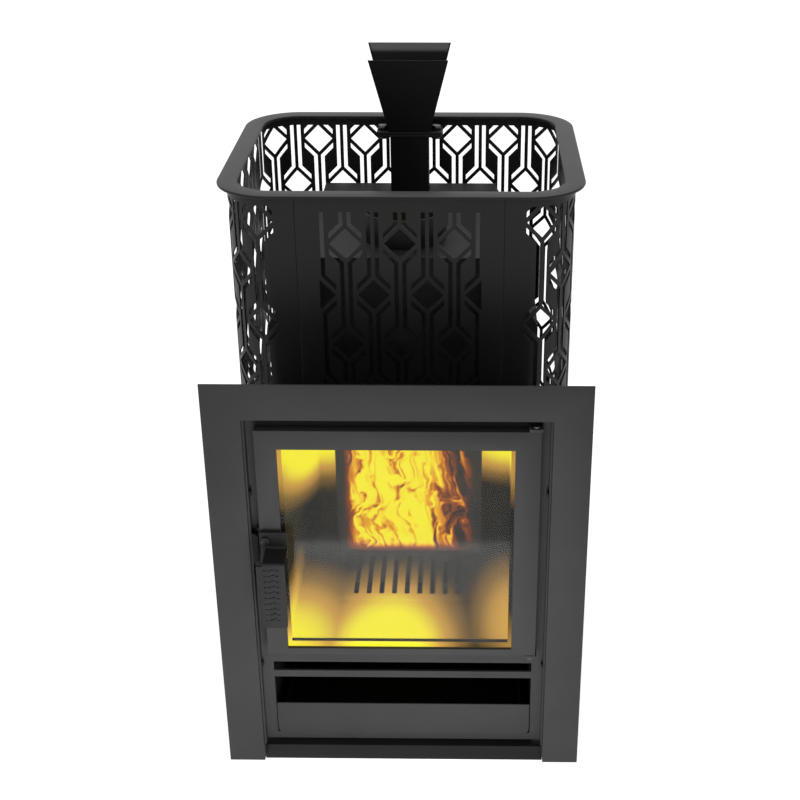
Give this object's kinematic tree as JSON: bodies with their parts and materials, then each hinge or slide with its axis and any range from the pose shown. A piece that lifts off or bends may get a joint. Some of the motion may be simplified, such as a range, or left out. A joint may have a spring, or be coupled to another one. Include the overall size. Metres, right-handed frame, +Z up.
{
  "type": "sauna heater stove",
  "caption": "Wood-burning sauna heater with a through-wall glazed door, ash drawer, laser-cut stone basket, flue spigot and a filler funnel over a steam box in the fire.",
  "frame": {"origin": "on the floor, at the middle of the bounding box in X and Y", "axes": "+X to the right seen from the door, +Y to the rear, +Z up"},
  "size_m": [0.5, 0.606, 0.914],
  "materials": {
    "satin_black": "satin",
    "deep_black": "satin",
    "fired_steel": "mill",
    "plain_steel": "machined",
    "cast_iron": "as cast",
    "rope_fibre": "matte",
    "ceramic_glass": "polished"
  },
  "bodies": {
    "stove": {"portal_frame": "satin_black", "front_plate": "satin_black", "top_rim": "satin_black", "hinge_bracket_upper": "satin_black", "hinge_bracket_lower": "satin_black", "plinth_panel": "deep_black", "feed_duct": "deep_black", "funnel_flange": "deep_black", "funnel": "deep_black", "latch_keeper": "deep_black", "basket_front_panel": "deep_black", "basket_wrap": "deep_black", "seam_strip_left": "deep_black", "seam_strip_right": "deep_black", "portal_screw_left_1": "deep_black", "portal_screw_left_2": "deep_black", "portal_screw_right_1": "deep_black", "portal_screw_right_2": "deep_black", "base_plate": "fired_steel", "firebox_rear_wall": "fired_steel", "firebox_front_wall": "fired_steel", "tunnel_roof": "fired_steel", "firebox_top_plate": "fired_steel", "flue_spigot": "fired_steel", "hearth_plate": "fired_steel", "steam_box": "fired_steel", "stone_shelf_rear": "fired_steel", "drawer_runner_left": "fired_steel", "drawer_runner_right": "fired_steel", "firebox_side_left": "fired_steel", "firebox_side_right": "fired_steel", "firebox_shoulder_left": "fired_steel", "firebox_shoulder_right": "fired_steel", "stone_shelf_left": "fired_steel", "stone_shelf_right": "fired_steel", "hinge_pin_upper": "plain_steel", "hinge_pin_lower": "plain_steel", "foot_rear_left": "plain_steel", "foot_rear_right": "plain_steel", "flange_bolt_left": "plain_steel", "flange_bolt_right": "plain_steel", "grate": "cast_iron", "lining_left": "cast_iron", "lining_right": "cast_iron"},
    "door": {"door_frame": "satin_black", "door_glass": "ceramic_glass", "glass_gasket": "rope_fibre", "glass_retainer": "satin_black", "door_seal": "rope_fibre"},
    "latch_handle": {"latch_shaft": "plain_steel", "latch_tongue": "plain_steel", "grip_bolt": "plain_steel", "handle_grip": "deep_black"},
    "ash_drawer": {"drawer_face": "satin_black", "drawer_tray": "fired_steel"}
  },
  "joints": [
    {"name": "door_hinge", "type": "hinge", "parent": "stove", "child": "door", "pos_m": [0.178, -0.252, 0.363], "axis": [0, 0, 1], "range_deg": [0, 110]},
    {"name": "latch_turn", "type": "hinge", "parent": "door", "child": "latch_handle", "pos_m": [-0.1775, -0.259, 0.376], "axis": [0, -1, 0], "range_deg": [-40, 40]},
    {"name": "drawer_slide", "type": "slide", "parent": "stove", "child": "ash_drawer", "axis": [0, -1, 0], "range_m": [0, 0.26]}
  ]
}
